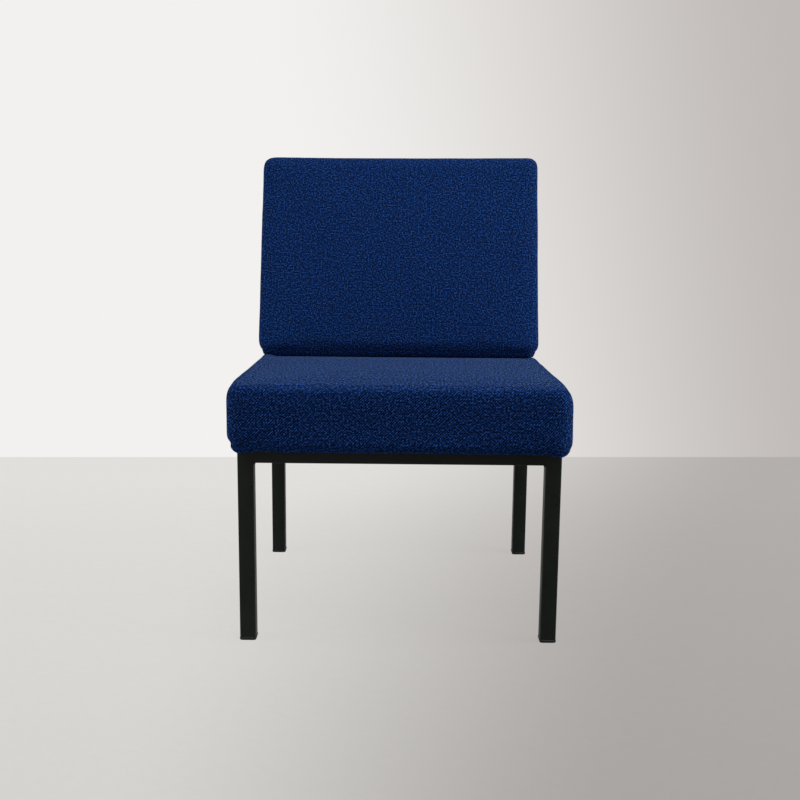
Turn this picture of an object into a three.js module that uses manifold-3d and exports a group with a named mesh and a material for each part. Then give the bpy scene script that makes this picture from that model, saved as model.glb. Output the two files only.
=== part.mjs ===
// Slipper chair: a low, armless chair with an upholstered seat and a leaning upholstered back
// on a welded frame of square steel tube.
// Millimetres, +Z up. The sitter faces -Y, and left and right are as seen from the front.
// The origin is on the floor, under the middle of the chair's box.

import * as THREE from 'three';
import { mergeVertices } from 'three/addons/utils/BufferGeometryUtils.js';
import Module from 'manifold-3d';

const wasm = await Module();
wasm.setup();

// Frame of square tube
const frameWidth = 500;
const frameDepth = 470;
const seatRailTop = 313;
const tubeSize = 25;
const tubeWall = 2;
const tubeCornerRadius = 2.5;

// Glides in the leg ends
const glideCapHeight = 4.5;
const glideFlare = 0.6;
const glideEdge = 1.4;
const glideStemLength = 20;

// Back uprights, bent behind the rear rail, and their end plugs. The setback is from the side of
// the frame to the middle of an upright, and the top setback from the top of the back cushion down
// to the upper end of an upright.
const uprightSetback = 100;
const uprightBendRise = 12;
const uprightBendRadius = 60;
const uprightTopSetback = 143;
const plugCapHeight = 3;
const plugEdge = 1.2;
const plugStemLength = 14;

// Seat cushion. Its top falls away towards the front edge, and its hem hangs below the top of the
// rails, lower at the corners.
const seatOverhangFront = 20;
const cushionOverhangSide = 14;
const seatRearSetback = 1;
const seatFrontThickness = 98;
const seatRearThickness = 82;
const seatFrontDroop = 4;
const seatFrontDroopReach = 60;
const seatCornerRadius = 26;
const seatShoulderWidth = 15;
const seatShoulderDrop = 24;
const seatHemWidth = 17;
const seatHemRise = 30;
const seatCrown = 5;
const seatDrawIn = 2;
const seatEdgeHang = 5.5;
const seatCornerHang = 13;
const seatCornerHangReach = 45;
const seatHemTurn = 40;

// Seat panel and dust cover
const seatPanelThickness = 12;
const seatPanelInset = 2;
const seatPanelCornerRadius = 15;
const dustCoverThickness = 0.8;
const dustCoverCornerRadius = 6;

// Back cushion, measured along its lean
const backLean = 15;
const backLength = 388;
const backDepth = 61;
const backCornerRadius = 20;
const backShoulderWidth = 14;
const backShoulderDrop = 18;
const backHemWidth = 9;
const backHemRise = 14;
const backCrown = 7;
const backDrawIn = 1.5;
const backHemTurn = 34;

// Back panel and the board that closes the back
const backPanelThickness = 12;
const backPanelInset = 12;
const backPanelCornerRadius = 14;
const rearBoardThickness = 3;
const rearBoardInset = 14;
const rearBoardCornerRadius = 16;

// Fabric and foam
const fabricThickness = 1.5;
const clearance = 0.3;

// Screws, washers and tee nuts
const screwRadius = 3;
const screwHeadRadius = 5.5;
const screwHeadHeight = 3.3;
const screwSocketAcross = 4;
const screwSocketDepth = 1.8;
const screwTipLength = 1;
const washerRadius = 7.5;
const washerThickness = 1.4;
const teeNutBarrelRadius = 4.3;
const teeNutBarrelLength = 8;
const teeNutFlangeRadius = 9;
const teeNutFlangeThickness = 1.3;
const seatScrewFrontSetback = 85;
const seatScrewRearSetback = 85;
const backBoltLowRise = 75;
const backBoltTopSetback = 40;

// Cuts run past the faces that they open by this much
const cutOverrun = 5;

// How finely round stretches are divided
const roundSides = 12;
const tubeCornerSteps = 3;
const plugCornerSteps = 2;
const panelCornerSteps = 4;
const domeSteps = 3;
const bendSteps = 4;
const cushionCornerSteps = 4;
const shoulderSteps = 3;
const hemSteps = 3;

// Places along a cushion's side, and rings of its crown, as shares of the side and of the flat
const sideShares = [0.07, 0.2, 0.5, 0.8, 0.93];
const crownRingShares = [0.36, 0.72];

// Where the raised band of a plug's stem starts and ends, as shares of the stem's length
const stemBandShares = [0.35, 0.75];

const quarterTurn = Math.PI / 2;
const lean = THREE.MathUtils.degToRad(backLean);

// Heights and places that follow from the sizes above
const railBottom = seatRailTop - tubeSize;
const railLengthAcross = frameWidth - 2 * tubeSize;
const railLengthAlong = frameDepth - 2 * tubeSize;
const legCentreX = (frameWidth - tubeSize) / 2;
const uprightCentreX = frameWidth / 2 - uprightSetback;
const cushionHalfWidth = frameWidth / 2 + cushionOverhangSide;
const seatPanelBottom = seatRailTop + fabricThickness;
const seatPanelTop = seatPanelBottom + seatPanelThickness;
const seatRear = frameDepth - seatRearSetback;
const seatHalfLength = (seatRear + seatOverhangFront) / 2;
const seatCentreY = seatRear - seatHalfLength;
const seatSlope = (seatFrontThickness - seatRearThickness) / (2 * seatHalfLength);

const frameBlack = { color: 0x15171a, roughness: 0.42, metalness: 0.25 };
const plasticBlack = { color: 0x0c0c0d, roughness: 0.55, metalness: 0 };
const wovenBlue = { color: 0x10265a, roughness: 0.95, metalness: 0 };
const foamCream = { color: 0xd9cfae, roughness: 0.95, metalness: 0 };
const plywoodTan = { color: 0xb98f5c, roughness: 0.8, metalness: 0 };
const clothBlack = { color: 0x141414, roughness: 0.95, metalness: 0 };
const zincSteel = { color: 0x9aa0a6, roughness: 0.35, metalness: 0.9 };
const blackScrewSteel = { color: 0x1a1a1c, roughness: 0.4, metalness: 0.7 };

// Closed bodies from rings of points. Each ring has as many points as the next. The first and
// last rings are closed with a cap, or joined to each other where the body is a tube with a bore.
function loft(rings, boreThrough = false) {
  const sides = rings[0].length;
  const positions = rings.flat().flatMap((point) => [point.x, point.y, point.z]);
  const faces = [];
  const gaps = boreThrough ? rings.length : rings.length - 1;
  for (let ring = 0; ring < gaps; ring += 1) {
    const here = ring * sides;
    const next = ((ring + 1) % rings.length) * sides;
    for (let side = 0; side < sides; side += 1) {
      const turn = (side + 1) % sides;
      faces.push(here + side, here + turn, next + turn);
      faces.push(here + side, next + turn, next + side);
    }
  }
  if (!boreThrough) {
    for (const ring of [0, rings.length - 1]) {
      const middle = new THREE.Vector3();
      rings[ring].forEach((point) => middle.addScaledVector(point, 1 / sides));
      const middleIndex = positions.length / 3;
      positions.push(middle.x, middle.y, middle.z);
      for (let side = 0; side < sides; side += 1) {
        const here = ring * sides + side;
        const turn = ring * sides + ((side + 1) % sides);
        faces.push(...(ring === 0 ? [middleIndex, turn, here] : [middleIndex, here, turn]));
      }
    }
  }
  const geometry = new THREE.BufferGeometry();
  geometry.setAttribute('position', new THREE.Float32BufferAttribute(positions, 3));
  geometry.setIndex(enclosedVolume(positions, faces) < 0 ? faces.reverse() : faces);
  geometry.computeVertexNormals();
  return geometry;
}

function enclosedVolume(positions, faces) {
  const corner = (index) => new THREE.Vector3().fromArray(positions, 3 * index);
  let volume = 0;
  for (let face = 0; face < faces.length; face += 3) {
    const [a, b, c] = [corner(faces[face]), corner(faces[face + 1]), corner(faces[face + 2])];
    volume += a.dot(b.cross(c)) / 6;
  }
  return volume;
}

// Boolean cuts and joins
function toSolid(geometry) {
  const bare = geometry.clone();
  bare.deleteAttribute('normal');
  if (bare.hasAttribute('uv')) {
    bare.deleteAttribute('uv');
  }
  const merged = mergeVertices(bare);
  return new wasm.Manifold(new wasm.Mesh({
    numProp: 3,
    vertProperties: new Float32Array(merged.attributes.position.array),
    triVerts: new Uint32Array(merged.index.array),
  }));
}

function toGeometry(solid) {
  const mesh = solid.getMesh();
  const geometry = new THREE.BufferGeometry();
  geometry.setAttribute('position', new THREE.Float32BufferAttribute(mesh.vertProperties, 3));
  geometry.setIndex(Array.from(mesh.triVerts));
  geometry.computeVertexNormals();
  return geometry;
}

function cut(geometry, cutters) {
  let solid = toSolid(geometry);
  for (const cutter of cutters) {
    solid = solid.subtract(toSolid(cutter));
  }
  return toGeometry(solid);
}

// A box given by its lowest and highest corners
function boxBetween(low, high) {
  const size = high.clone().sub(low);
  const middle = low.clone().add(high).multiplyScalar(0.5);
  return new THREE.BoxGeometry(size.x, size.y, size.z).translate(middle.x, middle.y, middle.z);
}

// A round bar along Z that starts at the given height
function roundBar(radius, length, start = 0, sides = roundSides) {
  const bar = new THREE.CylinderGeometry(radius, radius, length, sides);
  return bar.rotateX(quarterTurn).translate(0, 0, start + length / 2);
}

// Points round a rectangle with rounded corners, anticlockwise from its right-hand side
function roundedOutline(halfX, halfY, radius, steps) {
  const outline = [];
  const corners = [[1, 1], [-1, 1], [-1, -1], [1, -1]];
  corners.forEach(([signX, signY], quarter) => {
    for (let step = 0; step <= steps; step += 1) {
      const angle = (quarter + step / steps) * quarterTurn;
      const x = signX * (halfX - radius) + radius * Math.cos(angle);
      const y = signY * (halfY - radius) + radius * Math.sin(angle);
      outline.push(new THREE.Vector2(x, y));
    }
  });
  return outline;
}

// A flat plate with rounded corners, from its lower face upwards
function roundedPlate(halfX, halfY, radius, thickness) {
  const shape = new THREE.Shape(roundedOutline(halfX, halfY, radius, panelCornerSteps));
  return new THREE.ExtrudeGeometry(shape, { depth: thickness, bevelEnabled: false });
}

// Square tube along Z, open at both ends
function tubeOutline() {
  return roundedOutline(tubeSize / 2, tubeSize / 2, tubeCornerRadius, tubeCornerSteps);
}

function tubeBoreOutline() {
  const half = tubeSize / 2 - tubeWall;
  const radius = Math.max(tubeCornerRadius - tubeWall, tubeWall / 4);
  return roundedOutline(half, half, radius, tubeCornerSteps);
}

function straightTube(length) {
  const shape = new THREE.Shape(tubeOutline());
  shape.holes.push(new THREE.Path(tubeBoreOutline()));
  return new THREE.ExtrudeGeometry(shape, { depth: length, bevelEnabled: false });
}

// Square tube bent once in the YZ plane. It starts upright at the origin and leans back.
function bentTube(straightLength, bendRadius, bendAngle, leanLength) {
  const stations = [{ y: 0, z: 0, angle: 0 }];
  for (let step = 0; step <= bendSteps; step += 1) {
    const angle = (bendAngle * step) / bendSteps;
    const y = bendRadius * (1 - Math.cos(angle));
    const z = straightLength + bendRadius * Math.sin(angle);
    stations.push({ y, z, angle });
  }
  const bendEnd = stations[stations.length - 1];
  stations.push({
    y: bendEnd.y + leanLength * Math.sin(bendAngle),
    z: bendEnd.z + leanLength * Math.cos(bendAngle),
    angle: bendAngle,
  });
  const ringAt = (outline, { y, z, angle }) => outline.map((point) => new THREE.Vector3(
    point.x,
    y + point.y * Math.cos(angle),
    z - point.y * Math.sin(angle),
  ));
  const outside = stations.map((station) => ringAt(tubeOutline(), station));
  const inside = stations.map((station) => ringAt(tubeBoreOutline(), station));
  return loft([...outside, ...inside.reverse()], true);
}

// A moulded plug along Z: rings of rounded squares, each with a half size, a radius and a height
function mouldedPlug(levels) {
  return loft(levels.map(([half, radius, height]) => (
    roundedOutline(half, half, radius, plugCornerSteps).map((point) => (
      new THREE.Vector3(point.x, point.y, height)
    ))
  )));
}

// The stem of a plug grips the tube with a raised band and ends in a lead-in
function stemLevels(start, length) {
  const bandHalf = tubeSize / 2 - tubeWall - clearance;
  const coreHalf = bandHalf - tubeWall / 2;
  const leadHalf = bandHalf - tubeWall;
  const radius = tubeWall / 2;
  const [bandStartShare, bandEndShare] = stemBandShares;
  return [
    [coreHalf, radius, start],
    [coreHalf, radius, start + length * bandStartShare],
    [bandHalf, radius, start + length * bandStartShare + tubeWall / 2],
    [bandHalf, radius, start + length * bandEndShare],
    [leadHalf, radius, start + length],
  ];
}

function glideGeometry() {
  const half = tubeSize / 2 + glideFlare;
  const radius = tubeCornerRadius + glideFlare;
  return mouldedPlug([
    [half - glideEdge, radius, 0],
    [half - glideEdge / 4, radius, glideEdge / 2],
    [half, radius, glideEdge * 1.5],
    [half, radius, glideCapHeight - glideFlare],
    [half - glideFlare, tubeCornerRadius, glideCapHeight],
    ...stemLevels(glideCapHeight, glideStemLength),
  ]);
}

// The cap covers the tube's end, with the stem pointing up from it
function endPlugGeometry() {
  const half = tubeSize / 2;
  return mouldedPlug([
    [half - plugEdge * 2, tubeCornerRadius, 0],
    [half - plugEdge / 2, tubeCornerRadius, plugEdge / 2],
    [half, tubeCornerRadius, plugEdge * 1.5],
    [half, tubeCornerRadius, plugCapHeight],
    ...stemLevels(plugCapHeight, plugStemLength),
  ]);
}

// Socket-head screw along +Z, with the underside of its head at zero
function screwGeometry(length) {
  const profile = [new THREE.Vector2(0, -screwHeadHeight)];
  for (let step = 1; step <= domeSteps; step += 1) {
    const angle = (quarterTurn * step) / domeSteps;
    const radius = screwHeadRadius * Math.sin(angle);
    profile.push(new THREE.Vector2(radius, -screwHeadHeight * Math.cos(angle)));
  }
  profile.push(new THREE.Vector2(screwRadius, 0));
  profile.push(new THREE.Vector2(screwRadius, length - screwTipLength));
  profile.push(new THREE.Vector2(screwRadius - screwTipLength, length));
  profile.push(new THREE.Vector2(0, length));
  const body = new THREE.LatheGeometry(profile, roundSides).rotateX(quarterTurn);
  const socketRadius = screwSocketAcross / 2 / Math.cos(Math.PI / 6);
  const socketLength = screwSocketDepth + cutOverrun;
  const socketStart = -screwHeadHeight - cutOverrun;
  return cut(body, [roundBar(socketRadius, socketLength, socketStart, 6)]);
}

// Rings on Z from a closed profile of radius and height
function turnedRing(profile) {
  const points = profile.map(([radius, height]) => new THREE.Vector2(radius, height));
  points.push(points[0].clone());
  return new THREE.LatheGeometry(points, roundSides).rotateX(quarterTurn);
}

function washerGeometry() {
  const bore = screwRadius + clearance;
  return turnedRing([
    [bore, -washerThickness],
    [washerRadius, -washerThickness],
    [washerRadius, 0],
    [bore, 0],
  ]);
}

// The flange's outer face is at zero and the barrel points down
function teeNutGeometry() {
  const bore = screwRadius + clearance;
  const total = teeNutFlangeThickness + teeNutBarrelLength;
  return turnedRing([
    [bore, -total],
    [teeNutBarrelRadius, -total],
    [teeNutBarrelRadius, -teeNutFlangeThickness],
    [teeNutFlangeRadius, -teeNutFlangeThickness],
    [teeNutFlangeRadius, 0],
    [bore, 0],
  ]);
}

// The pocket that a panel has for a tee nut whose flange lies flush with the panel's face
function teeNutPocket(panelThickness) {
  const flangeDepth = teeNutFlangeThickness + clearance;
  const flange = roundBar(teeNutFlangeRadius + clearance, flangeDepth + cutOverrun, -flangeDepth);
  const barrelLength = panelThickness + 2 * cutOverrun;
  const barrel = roundBar(teeNutBarrelRadius + clearance, barrelLength, cutOverrun - barrelLength);
  return [flange, barrel];
}

// Outline of a cushion: rounded corners, and sides that draw in between them
function cushionOutline(halfX, halfY, radius, drawIn) {
  const corners = roundedOutline(halfX, halfY, radius, cushionCornerSteps);
  const perCorner = cushionCornerSteps + 1;
  const outline = [];
  for (let quarter = 0; quarter < 4; quarter += 1) {
    const arc = corners.slice(quarter * perCorner, (quarter + 1) * perCorner);
    const start = arc[arc.length - 1];
    const end = corners[((quarter + 1) * perCorner) % corners.length];
    const facing = (quarter + 1) * quarterTurn;
    const inward = new THREE.Vector2(-Math.cos(facing), -Math.sin(facing));
    outline.push(...arc);
    for (const share of sideShares) {
      const pull = drawIn * 4 * share * (1 - share);
      outline.push(start.clone().lerp(end, share).addScaledVector(inward, pull));
    }
  }
  return outline;
}

// A cushion lying on its underside. Its faces are moved inwards by the inset, which makes the
// hollow of a cover and the foam that fills it from the same form.
function cushionGeometry(form, inset) {
  const shoulderWidth = form.shoulderWidth - inset;
  const shoulderDrop = form.shoulderDrop - inset;
  const hemWidth = form.hemWidth - inset;
  const hemRise = form.hemRise - inset;
  const rings = [];
  const addRing = (share, inward, heightAt) => {
    const halfX = share * (form.halfWidth - inset - inward);
    const halfY = share * (form.halfLength - inset - inward);
    const radius = share * (form.cornerRadius - inset - inward);
    const outline = cushionOutline(halfX, halfY, radius, share * form.drawIn);
    rings.push(outline.map(({ x, y }) => new THREE.Vector3(x, y, heightAt(x, y))));
  };
  const topAt = (x, y) => form.topAt(y) - inset;
  const undersideAt = (x, y) => form.undersideAt(x, y) + inset;
  for (const share of crownRingShares) {
    addRing(share, shoulderWidth, (x, y) => topAt(x, y) + form.crown * (1 - share ** 2));
  }
  for (let step = 0; step <= shoulderSteps; step += 1) {
    const angle = (quarterTurn * step) / shoulderSteps;
    const drop = shoulderDrop * (1 - Math.cos(angle));
    addRing(1, shoulderWidth * (1 - Math.sin(angle)), (x, y) => topAt(x, y) - drop);
  }
  for (let step = 0; step <= hemSteps; step += 1) {
    const angle = (quarterTurn * step) / hemSteps;
    const rise = hemRise * (1 - Math.sin(angle));
    addRing(1, hemWidth * (1 - Math.cos(angle)), (x, y) => undersideAt(x, y) + rise);
  }
  return loft(rings);
}

// Seat form, about the middle of the seat in plan, with true heights
function seatCornerShare(x, y) {
  const alongX = THREE.MathUtils.clamp(
    (Math.abs(x) - cushionHalfWidth) / seatCornerHangReach + 1, 0, 1);
  const alongY = THREE.MathUtils.clamp(
    (Math.abs(y) - seatHalfLength) / seatCornerHangReach + 1, 0, 1);
  return THREE.MathUtils.smoothstep(alongX, 0, 1) * THREE.MathUtils.smoothstep(alongY, 0, 1);
}

function seatTopAt(y) {
  const fromFront = y + seatHalfLength;
  const droopShare = THREE.MathUtils.clamp(1 - fromFront / seatFrontDroopReach, 0, 1);
  const level = seatRailTop + seatFrontThickness - seatSlope * fromFront;
  return level - seatFrontDroop * droopShare ** 2;
}

const seatForm = {
  halfWidth: cushionHalfWidth,
  halfLength: seatHalfLength,
  cornerRadius: seatCornerRadius,
  shoulderWidth: seatShoulderWidth,
  shoulderDrop: seatShoulderDrop,
  hemWidth: seatHemWidth,
  hemRise: seatHemRise,
  crown: seatCrown,
  drawIn: seatDrawIn,
  topAt: seatTopAt,
  undersideAt: (x, y) => seatRailTop - seatEdgeHang - seatCornerHang * seatCornerShare(x, y),
};

function seatCushion(inset) {
  return cushionGeometry(seatForm, inset).translate(0, seatCentreY, 0);
}

// The space of the rails and legs under the seat, grown by a margin on its sides and top
function frameSpace(margin, top) {
  const side = frameWidth / 2 + clearance + margin;
  return boxBetween(
    new THREE.Vector3(-side, -clearance - margin, 0),
    new THREE.Vector3(side, frameDepth + seatHemWidth, top),
  );
}

function seatScrewPlaces() {
  const places = [];
  for (const [sideName, side] of [['left', -1], ['right', 1]]) {
    places.push({ name: `front_${sideName}`, x: side * legCentreX, y: seatScrewFrontSetback });
    const rearY = frameDepth - seatScrewRearSetback;
    places.push({ name: `rear_${sideName}`, x: side * legCentreX, y: rearY });
  }
  return places;
}

function seatCoverGeometry() {
  const hollow = toSolid(seatCushion(fabricThickness))
    .subtract(toSolid(frameSpace(fabricThickness, seatPanelBottom)));
  const openX = frameWidth / 2 - seatHemTurn;
  const opening = boxBetween(
    new THREE.Vector3(-openX, seatHemTurn, seatRailTop - cutOverrun),
    new THREE.Vector3(openX, frameDepth - seatHemTurn, seatPanelBottom + cutOverrun),
  );
  let cover = toSolid(seatCushion(0))
    .subtract(toSolid(frameSpace(0, seatRailTop)))
    .subtract(hollow)
    .subtract(toSolid(opening));
  for (const { x, y } of seatScrewPlaces()) {
    const hole = roundBar(screwRadius + clearance, 2 * cutOverrun, seatRailTop - cutOverrun);
    cover = cover.subtract(toSolid(hole.translate(x, y, 0)));
  }
  return toGeometry(cover);
}

// The panel lies as far in from the cushion's rear face as it does from its sides
function seatPanelHalfSizes(margin = 0) {
  const rearEdge = seatRear - cushionOverhangSide - seatPanelInset;
  return {
    halfX: frameWidth / 2 - seatPanelInset + margin,
    halfY: (rearEdge - seatPanelInset) / 2 + margin,
  };
}

const seatPanelCentreY = seatPanelInset + seatPanelHalfSizes().halfY;

function seatFoamGeometry() {
  const lining = fabricThickness + clearance;
  const { halfX, halfY } = seatPanelHalfSizes(clearance);
  const recessDepth = seatPanelTop - railBottom;
  const recess = roundedPlate(halfX, halfY, seatPanelCornerRadius, recessDepth)
    .translate(0, seatPanelCentreY, railBottom);
  return cut(seatCushion(lining), [
    frameSpace(lining, seatPanelBottom + clearance),
    recess,
  ]);
}

function seatPanelGeometry() {
  const { halfX, halfY } = seatPanelHalfSizes();
  const plate = roundedPlate(halfX, halfY, seatPanelCornerRadius, seatPanelThickness)
    .translate(0, seatPanelCentreY, seatPanelBottom);
  const pockets = seatScrewPlaces().flatMap(({ x, y }) => (
    teeNutPocket(seatPanelThickness).map((pocket) => pocket.translate(x, y, seatPanelTop))
  ));
  return cut(plate, pockets);
}

function dustCoverGeometry() {
  const halfX = frameWidth / 2 - seatHemTurn - clearance;
  const halfY = frameDepth / 2 - seatHemTurn - clearance;
  return roundedPlate(halfX, halfY, dustCoverCornerRadius, dustCoverThickness)
    .translate(0, frameDepth / 2, seatPanelBottom - dustCoverThickness);
}

// Where the front faces of the uprights leave the bend: the back is hung from this point, along
// the lean. Its own Z runs up the uprights and its own Y points backwards.
const uprightY = frameDepth + tubeSize / 2;
const uprightBendStart = tubeSize + uprightBendRise;
const backOriginY = uprightY + uprightBendRadius * (1 - Math.cos(lean))
  - (tubeSize / 2) * Math.cos(lean);
const backOriginZ = railBottom + uprightBendStart + uprightBendRadius * Math.sin(lean)
  + (tubeSize / 2) * Math.sin(lean);

// Behind the cushion lies the board that closes the back, clear of both it and the uprights
const backRearY = -rearBoardThickness - 2 * clearance;
const backFrontY = backRearY - backDepth;
const backPanelLow = fabricThickness + clearance;
const backPanelHigh = backPanelLow + backPanelThickness;

// How far up the lean the cushion starts, so that its front edge rests on the seat
function backBottomRise() {
  const frontY = backOriginY + backFrontY * Math.cos(lean);
  const frontZ = backOriginZ - backFrontY * Math.sin(lean);
  const seatTop = seatForm.topAt(frontY - seatCentreY);
  const swell = seatCrown * (1 - ((frontY - seatCentreY) / seatHalfLength) ** 2);
  const lift = seatTop + swell + clearance - frontZ;
  return lift / (Math.cos(lean) + seatSlope * Math.sin(lean));
}

const backBottom = backBottomRise();
const backMiddle = backBottom + backLength / 2;
const uprightLeanLength = backBottom + backLength - uprightTopSetback;

// The lower end is cut to the slope of the seat, so the cushion rests flat on it. The cut fades
// out up the cushion.
const bevelTangent = Math.tan(lean - Math.atan(seatSlope));

function bevelLowerEnd(geometry) {
  const fade = 2 * backCornerRadius + backDepth * bevelTangent;
  const position = geometry.attributes.position;
  for (let index = 0; index < position.count; index += 1) {
    const fromEnd = position.getY(index) + backLength / 2;
    const share = THREE.MathUtils.clamp(1 - fromEnd / fade, 0, 1);
    const depth = backDepth - position.getZ(index);
    position.setY(index, position.getY(index) + share * depth * bevelTangent);
  }
  return geometry;
}

const backForm = {
  halfWidth: cushionHalfWidth,
  halfLength: backLength / 2,
  cornerRadius: backCornerRadius,
  shoulderWidth: backShoulderWidth,
  shoulderDrop: backShoulderDrop,
  hemWidth: backHemWidth,
  hemRise: backHemRise,
  crown: backCrown,
  drawIn: backDrawIn,
  topAt: () => backDepth,
  undersideAt: () => 0,
};

// From lying on its rear face, a back piece is stood up against the board
function standUp(geometry) {
  return geometry.rotateX(quarterTurn).translate(0, backRearY, backMiddle);
}

function backCushion(inset) {
  return bevelLowerEnd(cushionGeometry(backForm, inset));
}

// The panel stops short of the bevelled lower end by the same inset as at its other edges
function backPanelHalfSizes(margin = 0) {
  const lowerEnd = backPanelInset + backDepth * bevelTangent;
  return {
    halfX: cushionHalfWidth - backPanelInset + margin,
    halfY: (backLength - backPanelInset - lowerEnd) / 2 + margin,
    middle: (lowerEnd - backPanelInset) / 2,
  };
}

// The low bolts are placed from the lower end of the cushion, the high ones from the upper ends of
// the uprights
function backBoltPlaces() {
  const lowZ = backBottom + backBoltLowRise;
  const highZ = uprightLeanLength - backBoltTopSetback;
  const places = [];
  for (const [sideName, side] of [['left', -1], ['right', 1]]) {
    for (const [levelName, z] of [['low', lowZ], ['high', highZ]]) {
      places.push({ name: `${levelName}_${sideName}`, x: side * uprightCentreX, z });
    }
  }
  return places;
}

function backPanelPlate(margin, low, high) {
  const { halfX, halfY, middle } = backPanelHalfSizes(margin);
  return roundedPlate(halfX, halfY, backPanelCornerRadius, high - low).translate(0, middle, low);
}

function backCoverGeometry() {
  const { halfX, halfY, middle } = backPanelHalfSizes(backPanelInset - backHemTurn);
  const opening = boxBetween(
    new THREE.Vector3(-halfX, middle - halfY, -cutOverrun),
    new THREE.Vector3(halfX, middle + halfY, fabricThickness + cutOverrun),
  );
  return standUp(cut(backCushion(0), [backCushion(fabricThickness), opening]));
}

function backFoamGeometry() {
  const recess = backPanelPlate(clearance, -cutOverrun, backPanelHigh + clearance);
  return standUp(cut(backCushion(fabricThickness + clearance), [recess]));
}

function backPanelGeometry() {
  const pockets = backBoltPlaces().flatMap(({ x, z }) => (
    teeNutPocket(backPanelThickness).map((pocket) => (
      pocket.translate(x, z - backMiddle, backPanelHigh)
    ))
  ));
  return standUp(cut(backPanelPlate(0, backPanelLow, backPanelHigh), pockets));
}

function rearBoardGeometry() {
  const { halfX, halfY, middle } = backPanelHalfSizes(backPanelInset - rearBoardInset);
  const plate = roundedPlate(halfX, halfY, rearBoardCornerRadius, rearBoardThickness)
    .translate(0, middle, -clearance - rearBoardThickness);
  const holes = backBoltPlaces().map(({ x, z }) => {
    const length = rearBoardThickness + 2 * cutOverrun;
    return roundBar(screwRadius + clearance, length, cutOverrun - length)
      .translate(x, z - backMiddle, 0);
  });
  return standUp(cut(plate, holes));
}

const chair = new THREE.Group();

function addPiece(parent, name, geometry, finish, place = new THREE.Vector3()) {
  const mesh = new THREE.Mesh(geometry, new THREE.MeshStandardMaterial(finish));
  mesh.name = name;
  mesh.position.copy(place);
  parent.add(mesh);
  return mesh;
}

// Legs and glides
function addLegs() {
  const legLength = seatRailTop - glideCapHeight;
  for (const [endName, y] of [['front', tubeSize / 2], ['rear', frameDepth - tubeSize / 2]]) {
    for (const [sideName, side] of [['left', -1], ['right', 1]]) {
      const foot = new THREE.Vector3(side * legCentreX, y, 0);
      const legFoot = foot.clone().setZ(glideCapHeight);
      addPiece(chair, `leg_${endName}_${sideName}`, straightTube(legLength), frameBlack, legFoot);
      addPiece(chair, `glide_${endName}_${sideName}`, glideGeometry(), plasticBlack, foot);
    }
  }
}

// Rails butt between the legs, flush with their outer faces
function addRails() {
  const railCentreZ = seatRailTop - tubeSize / 2;
  for (const [endName, y] of [['front', tubeSize / 2], ['rear', frameDepth - tubeSize / 2]]) {
    const rail = straightTube(railLengthAcross).translate(0, 0, -railLengthAcross / 2);
    rail.rotateY(quarterTurn);
    const place = new THREE.Vector3(0, y, railCentreZ);
    addPiece(chair, `rail_${endName}`, rail, frameBlack, place);
  }
  for (const [sideName, side] of [['left', -1], ['right', 1]]) {
    const rail = straightTube(railLengthAlong).rotateX(-quarterTurn).translate(0, tubeSize, 0);
    const holes = seatScrewPlaces().filter(({ x }) => Math.sign(x) === side).map(({ y }) => (
      roundBar(screwRadius + clearance, tubeSize + 2 * cutOverrun)
        .translate(0, y, -tubeSize / 2 - cutOverrun)
    ));
    const place = new THREE.Vector3(side * legCentreX, 0, railCentreZ);
    addPiece(chair, `rail_${sideName}`, cut(rail, holes), frameBlack, place);
  }
}

// Seat screws go up through the side rails and the turned-under fabric into the seat panel
function addSeat() {
  addPiece(chair, 'seat_panel', seatPanelGeometry(), plywoodTan);
  addPiece(chair, 'seat_foam', seatFoamGeometry(), foamCream);
  addPiece(chair, 'seat_cover', seatCoverGeometry(), wovenBlue);
  addPiece(chair, 'seat_dust_cover', dustCoverGeometry(), clothBlack);
  const screwLength = seatPanelTop - teeNutFlangeThickness - railBottom + washerThickness;
  for (const { name, x, y } of seatScrewPlaces()) {
    const underRail = new THREE.Vector3(x, y, railBottom);
    const underWasher = underRail.clone().setZ(railBottom - washerThickness);
    const panelTop = underRail.clone().setZ(seatPanelTop);
    addPiece(chair, `seat_washer_${name}`, washerGeometry(), zincSteel, underRail);
    addPiece(chair, `seat_screw_${name}`, screwGeometry(screwLength), zincSteel, underWasher);
    addPiece(chair, `seat_tee_nut_${name}`, teeNutGeometry(), zincSteel, panelTop);
  }
}

// Uprights stand against the rear rail, from its underside upwards
function addUprights() {
  const back = new THREE.Group();
  back.position.set(0, backOriginY, backOriginZ);
  back.rotation.x = -lean;
  chair.add(back);
  for (const [sideName, side] of [['left', -1], ['right', 1]]) {
    const x = side * uprightCentreX;
    const foot = new THREE.Vector3(x, uprightY, railBottom);
    const tube = bentTube(uprightBendStart, uprightBendRadius, lean, uprightLeanLength);
    const holes = backBoltPlaces().filter((place) => Math.sign(place.x) === side).map(({ z }) => {
      const length = tubeSize + 2 * cutOverrun;
      return roundBar(screwRadius + clearance, length, -cutOverrun).rotateX(-quarterTurn)
        .translate(0, 0, z).rotateX(-lean)
        .translate(0, backOriginY - uprightY, backOriginZ - railBottom);
    });
    addPiece(chair, `upright_${sideName}`, cut(tube, holes), frameBlack, foot);
    const lowerPlug = endPlugGeometry().translate(0, 0, -plugCapHeight);
    addPiece(chair, `upright_plug_low_${sideName}`, lowerPlug, plasticBlack, foot);
    const upperPlug = endPlugGeometry().translate(0, 0, -plugCapHeight).rotateX(Math.PI);
    const top = new THREE.Vector3(x, tubeSize / 2, uprightLeanLength + clearance);
    addPiece(back, `upright_plug_high_${sideName}`, upperPlug, plasticBlack, top);
  }
  return back;
}

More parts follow.
